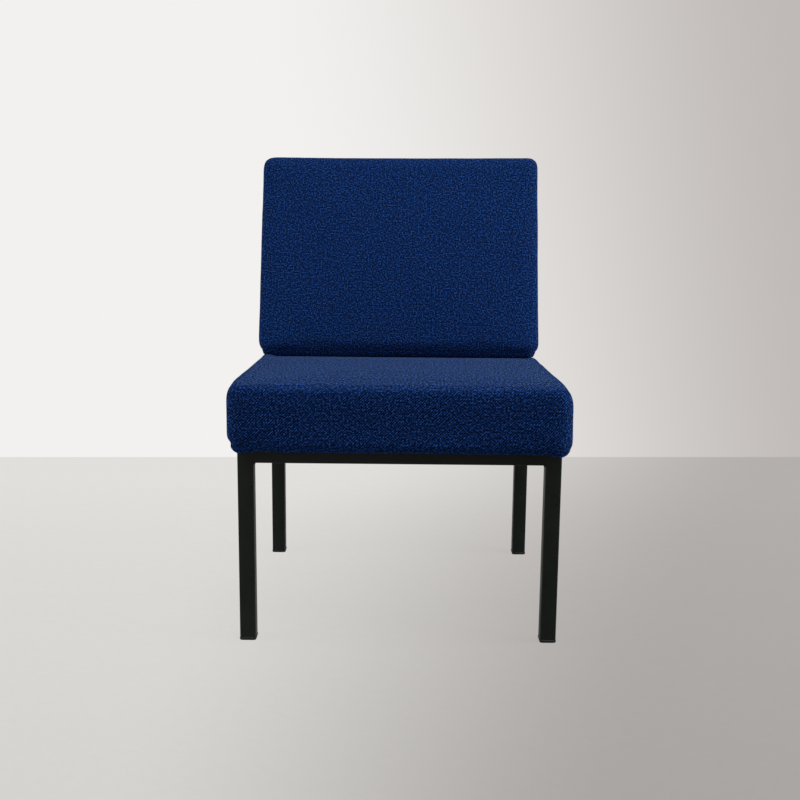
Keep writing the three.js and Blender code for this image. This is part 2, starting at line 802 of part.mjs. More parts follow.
// Back bolts go forwards through the uprights and the rear board into the back panel
function addBack(back) {
  addPiece(back, 'back_panel', backPanelGeometry(), plywoodTan);
  addPiece(back, 'back_foam', backFoamGeometry(), foamCream);
  addPiece(back, 'back_cover', backCoverGeometry(), wovenBlue);
  addPiece(back, 'back_rear_board', rearBoardGeometry(), wovenBlue);
  const panelFrontY = backRearY - backPanelHigh;
  const washerFrontY = tubeSize + clearance;
  const boltHeadY = washerFrontY + washerThickness + clearance;
  const boltLength = boltHeadY - panelFrontY - teeNutFlangeThickness;
  const forwards = (geometry) => geometry.rotateX(quarterTurn);
  for (const { name, x, z } of backBoltPlaces()) {
    const behind = new THREE.Vector3(x, washerFrontY, z);
    const behindWasher = behind.clone().setY(boltHeadY);
    const panelFront = behind.clone().setY(panelFrontY);
    const washer = forwards(washerGeometry());
    const bolt = forwards(screwGeometry(boltLength));
    addPiece(back, `back_washer_${name}`, washer, blackScrewSteel, behind);
    addPiece(back, `back_bolt_${name}`, bolt, blackScrewSteel, behindWasher);
    addPiece(back, `back_tee_nut_${name}`, forwards(teeNutGeometry()), zincSteel, panelFront);
  }
}

addLegs();
addRails();
addSeat();
addBack(addUprights());

// The chair is built from the front of its legs, and then set over the origin
chair.updateMatrixWorld(true);
const chairBox = new THREE.Box3().setFromObject(chair, true);
chair.position.y = -(chairBox.min.y + chairBox.max.y) / 2;
chair.updateMatrixWorld(true);

export default chair;
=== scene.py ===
"""Slipper chair: the looks of a low, armless chair with a blue woven seat and back on a black
frame of square steel tube. Metres, +Z up, the sitter faces -Y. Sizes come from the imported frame."""

import math

import bmesh
import bpy
import numpy as np
from mathutils import Matrix, Vector, noise
from mathutils.bvhtree import BVHTree


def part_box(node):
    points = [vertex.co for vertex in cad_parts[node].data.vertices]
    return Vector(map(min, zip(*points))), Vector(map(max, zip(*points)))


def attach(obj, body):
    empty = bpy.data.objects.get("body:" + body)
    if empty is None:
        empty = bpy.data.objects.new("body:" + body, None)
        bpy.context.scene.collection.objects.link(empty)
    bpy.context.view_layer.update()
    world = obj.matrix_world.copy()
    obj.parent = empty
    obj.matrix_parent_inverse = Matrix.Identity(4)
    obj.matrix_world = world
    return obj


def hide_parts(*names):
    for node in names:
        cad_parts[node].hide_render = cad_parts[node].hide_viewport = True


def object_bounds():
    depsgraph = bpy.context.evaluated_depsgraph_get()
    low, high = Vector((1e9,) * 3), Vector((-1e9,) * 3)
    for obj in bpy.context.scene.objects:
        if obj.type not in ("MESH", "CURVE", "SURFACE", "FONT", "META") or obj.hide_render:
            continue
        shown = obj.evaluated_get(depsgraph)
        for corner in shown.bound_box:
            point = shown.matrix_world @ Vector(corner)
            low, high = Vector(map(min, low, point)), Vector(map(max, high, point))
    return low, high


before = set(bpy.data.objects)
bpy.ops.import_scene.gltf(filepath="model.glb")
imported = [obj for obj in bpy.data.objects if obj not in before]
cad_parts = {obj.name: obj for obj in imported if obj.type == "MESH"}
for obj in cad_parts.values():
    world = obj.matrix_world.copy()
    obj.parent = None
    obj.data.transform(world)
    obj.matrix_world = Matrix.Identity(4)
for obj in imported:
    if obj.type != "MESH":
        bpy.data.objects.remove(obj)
cad_low, cad_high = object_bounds()

MM = 0.001

# Camera, placed from the front of the front legs
IMAGE_PIXELS = 800
FOCAL_PIXELS = 1099.7
SENSOR_WIDTH = 36
CAMERA_DISTANCE = 1647.2 * MM
CAMERA_HEIGHT = 684.9 * MM
CAMERA_SIDE = 0.1 * MM
CAMERA_PITCH = math.radians(10.183)
CAMERA_ROLL = math.radians(0.547)
CAMERA_YAW = math.radians(-0.012)

# Floor: the height in the picture where it ends, how far it runs on past the picture's left and
# right, and its near edge
FLOOR_LINE_PIXEL_Y = 457.0
FLOOR_REACH = 7.0
FLOOR_NEAR = -8.0

# The floor's painted shade turns it darker from left to right across a wedge that opens from a
# point this far in front of the origin. Its middle and its half width are slants, seen from that
# point: each has its value at the point and its growth for each metre.
WEDGE_START = 1.93
WEDGE_LEAST_REACH = 0.5
WEDGE_MIDDLE = (-0.166, 0.109)
WEDGE_HALF_WIDTH = (0.325, -0.04)

# Painted shade along Y: the floor is at this level at the first of these places and at 1 at the
# second, and this much of what the camera sees of it is a light of its own
FLOOR_SHADED = (-0.8, 0.7)
FLOOR_SHADED_LEVEL = 0.857
FLOOR_GRAIN_LEVELS = (0.99, 1.01)
FLOOR_BASE_LEVEL = 0.8
FLOOR_OWN_LIGHT = 0.94

# Wall: its painted shade turns it darker between these slants of the view, and leans over with its
# height
WALL_TURN = (-0.12, 0.40)
WALL_LEAN = 0.2
WALL_LEAST_DEPTH = 0.2

# Light: a soft lamp high in front, a weaker one on each side, and the room's own light
KEY_AZIMUTH = math.radians(6)
KEY_ELEVATION = math.radians(72)
KEY_DISTANCE = 3.2
KEY_SIZE = 1.8
KEY_LEVEL = 1.08
SIDE_AZIMUTH = math.radians(78)
SIDE_ELEVATION = math.radians(20)
SIDE_DISTANCE = 3.0
SIDE_SIZE = 1.6
LEFT_LEVEL = 0.82
RIGHT_LEVEL = 1.52
AMBIENT_LEVEL = 0.10

# Colours, as the 0-255 values of a display
# The wall's lit and shaded tones, for its painted shade
WALL_LIT_TONE = (243, 241, 239)
WALL_SHADED_TONE = (190, 185, 182)
# The floor's lit and shaded tones, for its painted shade
FLOOR_LIT_TONE = (225, 223, 220)
FLOOR_SHADED_TONE = (178, 174, 171)
TWILL_DARK = (9, 31, 72)
TWILL_LIGHT = (17, 44, 90)
PAINT_DARK = (7, 12, 9)
PAINT_LIGHT = (12, 17, 13)
PAINT_WORN = (48, 50, 48)
PLASTIC_DARK = (11, 11, 11)
PLASTIC_LIGHT = (19, 19, 20)
DUST_CLOTH_DARK = (16, 16, 17)
DUST_CLOTH_LIGHT = (44, 44, 46)
BIRCH_DARK = (196, 158, 108)
BIRCH_LIGHT = (222, 190, 142)
ZINC_DARK = (150, 152, 150)
ZINC_LIGHT = (196, 198, 196)
BLACKENED_DARK = (22, 22, 23)
BLACKENED_LIGHT = (40, 40, 42)

# Gaps: between the cushions, between a cushion and what it rests on, and round the frame
CONTACT_GAP = 0.4 * MM
REST_GAP = 0.1 * MM
FRAME_GAP = 3 * REST_GAP
MERGE_DISTANCE = REST_GAP / 10

# Cushions: mesh, simulation, how far the cover stands out from the foam, and its unevenness
CUSHION_VOXEL = 6 * MM
CUSHION_SMOOTHING = 2
CUSHION_SMOOTHING_FACTOR = 0.5
CUSHION_PRESSURE = 4.0
CUSHION_STEPS = 20
CUSHION_QUALITY = 4
CUSHION_GIVE = 1.5 * MM
CUSHION_SOFTNESS = 2.0
SEAT_COVER = 2.6 * MM
BACK_COVER = 2.8 * MM
UNDULATION = 0.32 * MM
UNDULATION_PITCH = 75 * MM
UNDULATION_FALLOFF = 1.0
UNDULATION_STEP = 2.0
UNDULATION_OCTAVES = 3
RUFFLE = 0.12 * MM
RUFFLE_PITCH = 14 * MM

# A surface that turns less than this towards an edge's two faces isn't on the edge
EDGE_LEAST = 0.1

# Boxes that fill and cut the seat: how far they run past what they fill or clear
SEAT_FILL_RISE = 2 * CUSHION_VOXEL
SEAT_CUT_OVERRUN = 3 * CUSHION_VOXEL

# How much fuller than its solid the seat is. Sizes in pairs are for its left and its right. Its
# side shoulders thin out towards the front corners.
SEAT_SIDE_FULLNESS = (3.1 * MM, 2.2 * MM)
SEAT_SHOULDER_FULLNESS = (6.4 * MM, 2.6 * MM)
SEAT_CORNER_THINNING = (5.2 * MM, 5.0 * MM)
SEAT_CORNER_REACH = 110 * MM
SEAT_FRONT_FULLNESS = 11.5 * MM
SEAT_HEM_FULLNESS = 5.6 * MM
SEAT_HEM_CORNER_SHARE = (0.25, 0.8)

# The seat sinks a little towards the foot of the back, but not at its sides
SEAT_DIP = 5.2 * MM
SEAT_DIP_REACH = 120 * MM
SEAT_DIP_SIDE = 28 * MM

# A tuck in the cover above the hem at each lower corner, and how steeply it ends
TUCK_RISE = (5 * MM, 1 * MM)
TUCK_DEPTH = (4.5 * MM, 1.8 * MM)
TUCK_WIDTH = (7 * MM, 5 * MM)
TUCK_REACH = 60 * MM
TUCK_ENDING = 1.5

# The back leans, sits a little to the left on the frame, and is fuller than its solid. Sizes in
# pairs are for its left and its right.
BACK_LEAN = math.radians(15)
BACK_SHIFT = -3.5 * MM
BACK_SIDE_FULLNESS = (2.9 * MM, 3.1 * MM)
BACK_LOW_FULLNESS = (3.0 * MM, 1.6 * MM)
BACK_TOP_FULLNESS = (0.2 * MM, 3.4 * MM)
BACK_TOP_CORNER_FULLNESS = (0.3 * MM, 1.7 * MM)
BACK_CORNER_RISE = (42 * MM, 18 * MM)
BACK_CORNER_DRAW = (3 * MM, 4 * MM)
BACK_CORNER_REACH = 42 * MM
BACK_FOOT_RISE = 26 * MM
BACK_FOOT_DRAW = 2.6 * MM

# The back's underside settles on the seat: more and more as the Z of its direction falls from the
# first to the second of these, and fully up to this height above the seat
SETTLE_FACING = (-0.5, -0.75)
SETTLE_REACH = 7 * MM

# Weave: the steps of the twill's ribs along X and Z, how much they show, and the size of the
# flecks. Where a face turns up by this much, they are drawn out towards the front and show only
# this share of their number. Where a face turns to the side, the weave changes in a ragged line.
RIB_PITCH = 4.4 * MM
SEAT_RIBBING = 0.75
BACK_RIBBING = 0.12
SEAT_FLECK = 3.0 * MM
BACK_FLECK = 2.8 * MM
TOP_TURN = 0.1
TOP_SHARE = 0.34
SIDE_RAGGEDNESS = 0.3

# Cloth: how dark and light its flecks and its larger patches are, and its relief and sheen
FLECK_TONES = (0.25, 1.225)
PATCH_TONES = (0.96, 1.04)
LIGHT_FLECK_START = 0.6
RIB_RELIEF = 0.3
CLOTH_RELIEF = 0.6 * MM
SEAT_SHEEN = 0.08
BACK_SHEEN = 0.12
DARK_FLECK_SHEEN_SHARE = 0.25
SHEEN_TINT = (0.40, 0.62, 1.0, 1.0)

# Paint: how far up the legs it is scuffed, which part of a noise is scuffs, and their strength
SCUFF_SCALE = (900, 900, 60)
SCUFF_HEIGHT = 100 * MM
SCUFF_RANGE = (0.62, 0.74)
SCUFF_STRENGTH = 0.5

# Under the chair: the dust cloth's fibres and bonds, and the grain and plies of the plywood
FIBRE_RELIEF = 0.6
BOND_SCALE = 520.0
BOND_RANDOMNESS = 0.25
BIRCH_GRAIN_SCALE = (8, 160, 160)
PLY_PITCH = 3 * MM
PLY_TONES = (0.8, 1.0)

METAL_ROUGHNESS_SPREAD = 0.14

# Welds: beads in the inner corners, and beads ground nearly flush over the legs' round corners.
# At its ends a bead has this share of its size, and it gains one part in so many at each step.
# A ground bead's edges lie under the surface by a share of its height, its width wavers, and
# the grinding leaves marks.
WELD_LEG = 3.6 * MM
WELD_ROOT = 0.6 * MM
WELD_BULGE = 0.12
WELD_RIPPLE = 0.08
WELD_RIPPLE_PITCH = 2.4 * MM
WELD_UNEVENNESS = 0.1
WELD_STEP = 0.6 * MM
WELD_END_SHARE = 0.55
WELD_END_STEPS = 3
WELD_FACETS = 6
GROUND_WELD_WIDTH = 4.6 * MM
GROUND_WELD_PROUD = 0.14 * MM
GROUND_WELD_EDGE_SHARE = 0.6
GROUND_WELD_WAVER = 0.12
GROUND_WELD_MARKS = 0.2
TUBE_CORNER = 2.5 * MM

# Staples round the dust cover
STAPLE_WIDTH = 10 * MM
STAPLE_LEG = 2.2 * MM
STAPLE_RADIUS = 0.45 * MM
STAPLE_SIDES = 6
STAPLE_PITCH = 36 * MM
STAPLE_INSET = 6 * MM
STAPLE_SKEW = math.radians(14)

# Rigid pieces: the rear board's soft edge, and which angles count as flat and as sharp
BOARD_EDGE = 1.2 * MM
BOARD_EDGE_SEGMENTS = 3
FLAT_ANGLE = math.radians(2)
SHARP_ANGLE = math.radians(32)

# Most values of a noise lie in this range
NOISE_LOW = 0.3
NOISE_HIGH = 0.7

# The sockets that hold the colours of a Mix node
MIX_FIRST = 6
MIX_SECOND = 7
MIX_RESULT = 2


# Small helpers
def add_object(name, mesh):
    made = bpy.data.objects.new(name, mesh)
    bpy.context.scene.collection.objects.link(made)
    return made


def add_box(name, low, high):
    mesh = bpy.data.meshes.new(name)
    shape = bmesh.new()
    bmesh.ops.create_cube(shape, size=1)
    size = Vector(high) - Vector(low)
    middle = (Vector(high) + Vector(low)) / 2
    bmesh.ops.scale(shape, vec=size, verts=shape.verts)
    bmesh.ops.translate(shape, vec=middle, verts=shape.verts)
    shape.to_mesh(mesh)
    shape.free()
    return add_object(name, mesh)


def add_trim(name, shape, material):
    """Makes the solids in a shape a piece of their own."""
    bmesh.ops.recalc_face_normals(shape, faces=shape.faces)
    mesh = bpy.data.meshes.new(name)
    shape.to_mesh(mesh)
    shape.free()
    set_smooth(mesh)
    finish_piece(add_object(name, mesh), material)


def finish_piece(piece, material):
    piece.data.materials.clear()
    piece.data.materials.append(material)
    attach(piece, "root")


def copy_node(node, name):
    return add_object(name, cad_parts[node].data.copy())


def coordinates(mesh):
    values = np.zeros(len(mesh.vertices) * 3)
    mesh.vertices.foreach_get("co", values)
    return values.reshape(-1, 3)


def set_coordinates(mesh, values):
    mesh.vertices.foreach_set("co", np.asarray(values, dtype=float).ravel())
    mesh.update()


def normals(mesh):
    values = np.zeros(len(mesh.vertices) * 3)
    mesh.vertex_normals.foreach_get("vector", values)
    return values.reshape(-1, 3)


def set_smooth(mesh):
    mesh.polygons.foreach_set("use_smooth", [True] * len(mesh.polygons))
    mesh.update()


def apply_modifiers(piece):
    """The piece's mesh becomes what its modifiers make of it."""
    graph = bpy.context.evaluated_depsgraph_get()
    made = bpy.data.meshes.new_from_object(piece.evaluated_get(graph))
    piece.modifiers.clear()
    piece.data = made


def join_into(piece, other):
    shape = bmesh.new()
    shape.from_mesh(piece.data)
    shape.from_mesh(other.data)
    joined = bpy.data.meshes.new(piece.name)
    shape.to_mesh(joined)
    shape.free()
    piece.data = joined
    bpy.data.objects.remove(other)


def depth_range(node, lean):
    """The Y of a node's front and of its rear, once its lean is turned out of it."""
    turn = np.array(Matrix.Rotation(lean, 3, "X"))
    depths = (coordinates(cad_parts[node].data) @ turn.T)[:, 1]
    return float(depths.min()), float(depths.max())


# Colours and node trees
def grey(level):
    return (level, level, level, 1.0)


def rgb(colour):
    """A colour of 0-255 display values, in the linear values that shaders take."""
    def linear(value):
        value = value / 255
        return value / 12.92 if value <= 0.04045 else ((value + 0.055) / 1.055) ** 2.4
    red, green, blue = colour
    return (linear(red), linear(green), linear(blue), 1.0)


class Nodes:
    """A node tree, with short ways to add to it."""

    def __init__(self, tree):
        self.tree = tree

    def add(self, kind, inputs=(), **settings):
        node = self.tree.nodes.new(kind)
        for key, value in settings.items():
            setattr(node, key, value)
        for key, value in dict(inputs).items():
            self.feed(node.inputs[key], value)
        return node

    def feed(self, socket, value):
        if isinstance(value, bpy.types.NodeSocket):
            self.tree.links.new(value, socket)
        else:
            socket.default_value = value

    def math(self, operation, first, second=0.0, third=0.0):
        inputs = {0: first, 1: second, 2: third}
        return self.add("ShaderNodeMath", inputs, operation=operation).outputs[0]

    def parts(self, vector):
        """The X, Y and Z of a vector."""
        return self.add("ShaderNodeSeparateXYZ", {0: vector}).outputs

    def spread(self, value, low, high, new_low, new_high):
        inputs = {"Value": value, "From Min": low, "From Max": high, "To Min": new_low,
                  "To Max": new_high}
        return self.add("ShaderNodeMapRange", inputs).outputs["Result"]

    def eased(self, value, low, high):
        """From 0 at the low value to 1 at the high one, slow at both ends."""
        inputs = {"Value": value, "From Min": low, "From Max": high}
        node = self.add("ShaderNodeMapRange", inputs, interpolation_type="SMOOTHSTEP")
        return node.outputs["Result"]

    def between(self, share, first, second):
        """The first value where the share is 0 and the second where it is 1."""
        difference = self.math("SUBTRACT", second, first)
        return self.math("MULTIPLY_ADD", difference, share, first)

    def blend(self, share, first, second):
        inputs = {0: share, MIX_FIRST: first, MIX_SECOND: second}
        return self.add("ShaderNodeMix", inputs, data_type="RGBA").outputs[MIX_RESULT]

    def scaled(self, colour, factor):
        inputs = {0: 1.0, MIX_FIRST: colour, MIX_SECOND: factor}
        node = self.add("ShaderNodeMix", inputs, data_type="RGBA", blend_type="MULTIPLY")
        return node.outputs[MIX_RESULT]

    def seen(self):
        """1 where the camera sees the surface, straight, mirrored or through something clear."""
        path = self.add("ShaderNodeLightPath").outputs
        mirrored = self.math("MAXIMUM", path["Is Glossy Ray"], path["Is Transmission Ray"])
        return self.math("MAXIMUM", path["Is Camera Ray"], mirrored)

    def mixed(self, share, first, second):
        """The first shader where the share is 0 and the second where it is 1."""
        inputs = {0: share, 1: first, 2: second}
        return self.add("ShaderNodeMixShader", inputs).outputs[0]


class Shade(Nodes):
    """One material's node tree, placed in the coordinates of the object."""

    def __init__(self, name):
        self.material = bpy.data.materials.new(name)
        self.material.use_nodes = True
        super().__init__(self.material.node_tree)
        self.shader = self.tree.nodes["Principled BSDF"]
        self.place = self.add("ShaderNodeTexCoord").outputs["Object"]

    def set(self, **values):
        for key, value in values.items():
            self.feed(self.shader.inputs[key.replace("_", " ")], value)

    def noise(self, scale, detail=2.0, roughness=0.5, place=None):
        inputs = {"Vector": place or self.place, "Scale": scale, "Detail": detail,
                  "Roughness": roughness}
        return self.add("ShaderNodeTexNoise", inputs).outputs["Fac"]

    def levels(self, values, low, high):
        """A noise's values, drawn out to run from the low level to the high one."""
        return self.spread(values, NOISE_LOW, NOISE_HIGH, low, high)

    def wander(self, scale, detail, size):
        """Noise that strays from 0 by up to half the size to either side."""
        return self.math("MULTIPLY_ADD", self.noise(scale, detail), size, -size / 2)

    def stretched(self, scale):
        """The place with a scale of its own for each axis."""
        return self.add("ShaderNodeMapping", {"Vector": self.place, "Scale": scale}).outputs[0]

    def bump(self, height, distance, strength=1.0):
        inputs = {"Height": height, "Distance": distance, "Strength": strength}
        return self.add("ShaderNodeBump", inputs).outputs["Normal"]


# Materials
def cloth_directions(shade, node, lean):
    """The place across and along the cover of a cushion, and whether it is on a side. Both are
    taken along the cushion's lean, and run on without a break round its front and rear edges."""
    front, rear = depth_range(node, lean)
    facing = shade.add("ShaderNodeNewGeometry").outputs["Normal"]
    turned = []
    for vector in (shade.place, facing):
        inputs = {"Vector": vector, "Angle": lean}
        turn = shade.add("ShaderNodeVectorRotate", inputs, rotation_type="X_AXIS")
        turned.append(shade.parts(turn.outputs[0]))
    (x, y, z), (facing_x, facing_y, facing_z) = turned

    ragged = shade.wander(scale=500.0, detail=1.0, size=SIDE_RAGGEDNESS)
    size_x = shade.math("ADD", shade.math("ABSOLUTE", facing_x), ragged)
    size_y = shade.math("ABSOLUTE", facing_y)
    size_z = shade.math("ADD", shade.math("ABSOLUTE", facing_z), ragged)
    on_side = shade.math("GREATER_THAN", size_x, shade.math("MAXIMUM", size_y, size_z))

    behind = shade.math("GREATER_THAN", facing_y, 0.0)
    from_end = shade.math("SUBTRACT", y, shade.between(behind, front, rear))
    drawn_out = shade.spread(facing_z, -TOP_TURN, TOP_TURN, -TOP_SHARE, TOP_SHARE)
    upwards = shade.math("MULTIPLY", z, shade.between(behind, 1.0, -1.0))
    end_along = shade.math("MULTIPLY_ADD", from_end, drawn_out, upwards)
    side_across = shade.math("MULTIPLY", y, shade.math("SIGN", facing_x))
    across = shade.between(on_side, x, side_across)
    along = shade.between(on_side, end_along, z)
    return across, along, on_side


def fabric(name, node, fleck_size, ribbing, sheen, lean=0.0):
    """Blue wool twill. Its ribs run from the lower left to the upper right, and its flecks are
    those of a wool that was dyed before it was spun."""
    shade = Shade(name)
    across, along, on_side = cloth_directions(shade, node, lean)
    wander = shade.wander(scale=60.0, detail=2.0, size=fleck_size / 2)
    across = shade.math("ADD", across, wander)
    along = shade.math("SUBTRACT", along, wander)
    diagonal = shade.math("SUBTRACT", across, along)
    rib = shade.math("SINE", shade.math("MULTIPLY", diagonal, 2 * math.pi / RIB_PITCH))
    cloth_place = shade.add("ShaderNodeCombineXYZ", {0: across, 1: along, 2: on_side}).outputs[0]
    fleck = shade.noise(scale=1 / fleck_size, detail=0.0, place=cloth_place)
    fleck = shade.levels(fleck, 0.0, 1.0)
    patch = shade.noise(scale=14.0, detail=3.0, roughness=0.55)

    tone = shade.spread(fleck, 0.0, 1.0, *FLECK_TONES)
    tone = shade.math("MULTIPLY", tone, shade.math("MULTIPLY_ADD", rib, ribbing, 1.0))
    tone = shade.math("MULTIPLY", tone, shade.levels(patch, *PATCH_TONES))
    lightness = shade.spread(fleck, LIGHT_FLECK_START, 1.0, 0.0, 1.0)
    colour = shade.blend(lightness, rgb(TWILL_DARK), rgb(TWILL_LIGHT))
    relief = shade.math("MULTIPLY_ADD", rib, RIB_RELIEF * ribbing, fleck)
    shade.set(Base_Color=shade.scaled(colour, tone), Roughness=0.95, Specular_IOR_Level=0.02)
    dark_sheen = DARK_FLECK_SHEEN_SHARE * sheen
    shade.set(Sheen_Weight=shade.spread(fleck, 0.0, 1.0, dark_sheen, sheen))
    shade.set(Sheen_Roughness=0.36, Sheen_Tint=SHEEN_TINT)
    shade.set(Normal=shade.bump(relief, CLOTH_RELIEF))
    return shade.material


def paint(name):
    """Satin black powder coat: a fine orange peel, and scuffs near the floor."""
    shade = Shade(name)
    peel = shade.noise(scale=900.0)
    cloud = shade.noise(scale=35.0, detail=3.0, roughness=0.6)
    streaks = shade.stretched(SCUFF_SCALE)
    scuff = shade.noise(scale=1.0, detail=3.0, roughness=0.7, place=streaks)
    scuffed = shade.spread(scuff, *SCUFF_RANGE, 0.0, SCUFF_STRENGTH)
    low_down = shade.spread(shade.parts(shade.place)["Z"], SCUFF_HEIGHT, 0.0, 0.0, 1.0)
    worn = shade.math("MULTIPLY", scuffed, low_down)
    base = shade.blend(shade.levels(cloud, 0.0, 1.0), rgb(PAINT_DARK), rgb(PAINT_LIGHT))
    shade.set(Base_Color=shade.blend(worn, base, rgb(PAINT_WORN)))
    shade.set(Roughness=shade.levels(cloud, 0.42, 0.54), Specular_IOR_Level=0.14)
    shade.set(Normal=shade.bump(peel, distance=0.05 * MM, strength=0.5))
    return shade.material


def plastic(name):
    """Moulded black plastic with a fine spark-eroded grain."""
    shade = Shade(name)
    grain = shade.noise(scale=1600.0, roughness=0.6)
    cloud = shade.noise(scale=120.0)
    shade.set(Base_Color=shade.blend(cloud, rgb(PLASTIC_DARK), rgb(PLASTIC_LIGHT)))
    shade.set(Roughness=shade.levels(grain, 0.5, 0.66), Specular_IOR_Level=0.2)
    shade.set(Normal=shade.bump(grain, distance=0.06 * MM, strength=0.6))
    return shade.material


def dust_cloth(name):
    """Black non-woven cloth, matted and point-bonded."""
    shade = Shade(name)
    fibres = shade.noise(scale=420.0, detail=4.0, roughness=0.7)
    inputs = {"Vector": shade.place, "Scale": BOND_SCALE, "Randomness": BOND_RANDOMNESS}
    bonds = shade.add("ShaderNodeTexVoronoi", inputs).outputs["Distance"]
    dimple = shade.spread(bonds, 0.0, 0.5, 0.0, 1.0)
    relief = shade.math("ADD", shade.math("MULTIPLY", fibres, FIBRE_RELIEF), dimple)
    shade.set(Base_Color=shade.blend(fibres, rgb(DUST_CLOTH_DARK), rgb(DUST_CLOTH_LIGHT)))
    shade.set(Roughness=0.92, Specular_IOR_Level=0.15)
    shade.set(Normal=shade.bump(relief, distance=0.15 * MM, strength=0.8))
    return shade.material


def plywood(name):
    """Birch plywood: grain along the face, and plies along the edges."""
    shade = Shade(name)
    along_face = shade.stretched(BIRCH_GRAIN_SCALE)
    grain = shade.noise(scale=1.0, detail=5.0, roughness=0.65, place=along_face)
    height = shade.parts(shade.place)["Z"]
    ply = shade.math("SINE", shade.math("MULTIPLY", height, 2 * math.pi / PLY_PITCH))
    base = shade.blend(shade.levels(grain, 0.0, 1.0), rgb(BIRCH_DARK), rgb(BIRCH_LIGHT))
    shade.set(Base_Color=shade.scaled(base, shade.spread(ply, -1.0, 1.0, *PLY_TONES)))
    shade.set(Roughness=shade.levels(grain, 0.6, 0.8))
    shade.set(Normal=shade.bump(grain, distance=0.1 * MM, strength=0.5))
    return shade.material


def metal(name, dark, light, roughness, metallic):
    """Plated or blackened steel with a fine mottled finish."""
    shade = Shade(name)
    cloud = shade.noise(scale=260.0, detail=3.0, roughness=0.6)
    fine = shade.noise(scale=2200.0, roughness=0.6)
    shade.set(Base_Color=shade.blend(shade.levels(cloud, 0.0, 1.0), rgb(dark), rgb(light)))
    shade.set(Roughness=shade.levels(cloud, roughness, roughness + METAL_ROUGHNESS_SPREAD))
    shade.set(Metallic=metallic)
    shade.set(Normal=shade.bump(fine, distance=0.02 * MM, strength=0.5))
    return shade.material


seat_fabric = fabric("blue_twill_seat", "seat_foam", SEAT_FLECK, SEAT_RIBBING, SEAT_SHEEN)
back_fabric = fabric("blue_twill_back", "back_foam", BACK_FLECK, BACK_RIBBING, BACK_SHEEN,
                     BACK_LEAN)
frame_paint = paint("satin_black_paint")
black_plastic = plastic("black_plastic")
dust_fabric = dust_cloth("black_dust_cloth")
birch_ply = plywood("birch_plywood")
zinc_steel = metal("zinc_steel", ZINC_DARK, ZINC_LIGHT, roughness=0.28, metallic=1.0)
black_steel = metal("black_steel", BLACKENED_DARK, BLACKENED_LIGHT, roughness=0.38, metallic=0.6)


# Camera
def add_camera():
    data = bpy.data.cameras.new("camera")
    data.sensor_width = SENSOR_WIDTH
    data.lens = FOCAL_PIXELS / IMAGE_PIXELS * SENSOR_WIDTH
    camera = bpy.data.objects.new("camera", data)
    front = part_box("leg_front_left")[0].y
    turn = (Matrix.Rotation(-CAMERA_YAW, 4, "Z")
            @ Matrix.Rotation(math.pi / 2 - CAMERA_PITCH, 4, "X")
            @ Matrix.Rotation(CAMERA_ROLL, 4, "Z"))
    place = Vector((CAMERA_SIDE, front - CAMERA_DISTANCE, CAMERA_HEIGHT))
    camera.matrix_world = Matrix.Translation(place) @ turn
    bpy.context.scene.collection.objects.link(camera)
    bpy.context.scene.camera = camera
    return camera


def floor_point(camera, pixel_x, pixel_y):
    """Where the floor shows at a pixel of the picture."""
    middle = IMAGE_PIXELS / 2
    sight = Vector((pixel_x - middle, middle - pixel_y, -FOCAL_PIXELS))
    direction = camera.matrix_world.to_3x3() @ sight
    start = camera.matrix_world.translation
    return start - direction * (start.z / direction.z)


# Floor, wall and lamps
def add_floor(camera):
    left = floor_point(camera, 0, FLOOR_LINE_PIXEL_Y)
    right = floor_point(camera, IMAGE_PIXELS, FLOOR_LINE_PIXEL_Y)
    along = (right - left).normalized()
    far_left = tuple(left - along * FLOOR_REACH)
    far_right = tuple(right + along * FLOOR_REACH)
    points = [far_left, far_right, (far_right[0], FLOOR_NEAR, 0), (far_left[0], FLOOR_NEAR, 0)]
    mesh = bpy.data.meshes.new("floor")
    mesh.from_pydata(points, [], [(3, 2, 1, 0)])
    mesh.update()
    floor = add_object("floor", mesh)
    floor.data.materials.append(floor_material())


def floor_material():
    """Pale floor with painted shade: lighter on the left, and darker to the right and towards its
    near edge. Most of its tone is its own, so that shadows stay soft.
    """
    shade = Shade("pale_floor")
    place = shade.parts(shade.place)
    # Painted shade: the floor's tone darkens from left to right across the wedge
    reach = shade.math("ADD", place["Y"], WEDGE_START)
    reach = shade.math("MAXIMUM", reach, WEDGE_LEAST_REACH)
    slant = shade.math("DIVIDE", place["X"], reach)
    middle = shade.math("MULTIPLY_ADD", reach, WEDGE_MIDDLE[1], WEDGE_MIDDLE[0])
    half_width = shade.math("MULTIPLY_ADD", reach, WEDGE_HALF_WIDTH[1], WEDGE_HALF_WIDTH[0])
    turned = shade.math("DIVIDE", shade.math("SUBTRACT", slant, middle), half_width)
    tone = shade.blend(shade.eased(turned, -1.0, 1.0), rgb(FLOOR_LIT_TONE), rgb(FLOOR_SHADED_TONE))
    # Painted shade: the floor darkens towards its near edge
    tone = shade.scaled(tone, shade.spread(place["Y"], *FLOOR_SHADED, FLOOR_SHADED_LEVEL, 1.0))
    grain = shade.noise(scale=60.0, detail=3.0, roughness=0.6)
    tone = shade.scaled(tone, shade.levels(grain, *FLOOR_GRAIN_LEVELS))
    shade.set(Base_Color=shade.scaled(tone, grey(FLOOR_BASE_LEVEL)))
    shade.set(Roughness=0.85, Specular_IOR_Level=0.1)
    glow = shade.add("ShaderNodeEmission", {"Color": tone}).outputs[0]
    share = shade.math("MULTIPLY", shade.seen(), FLOOR_OWN_LIGHT)
    surface = shade.mixed(share, shade.shader.outputs[0], glow)
    shade.feed(shade.tree.nodes["Material Output"].inputs["Surface"], surface)
    return shade.material


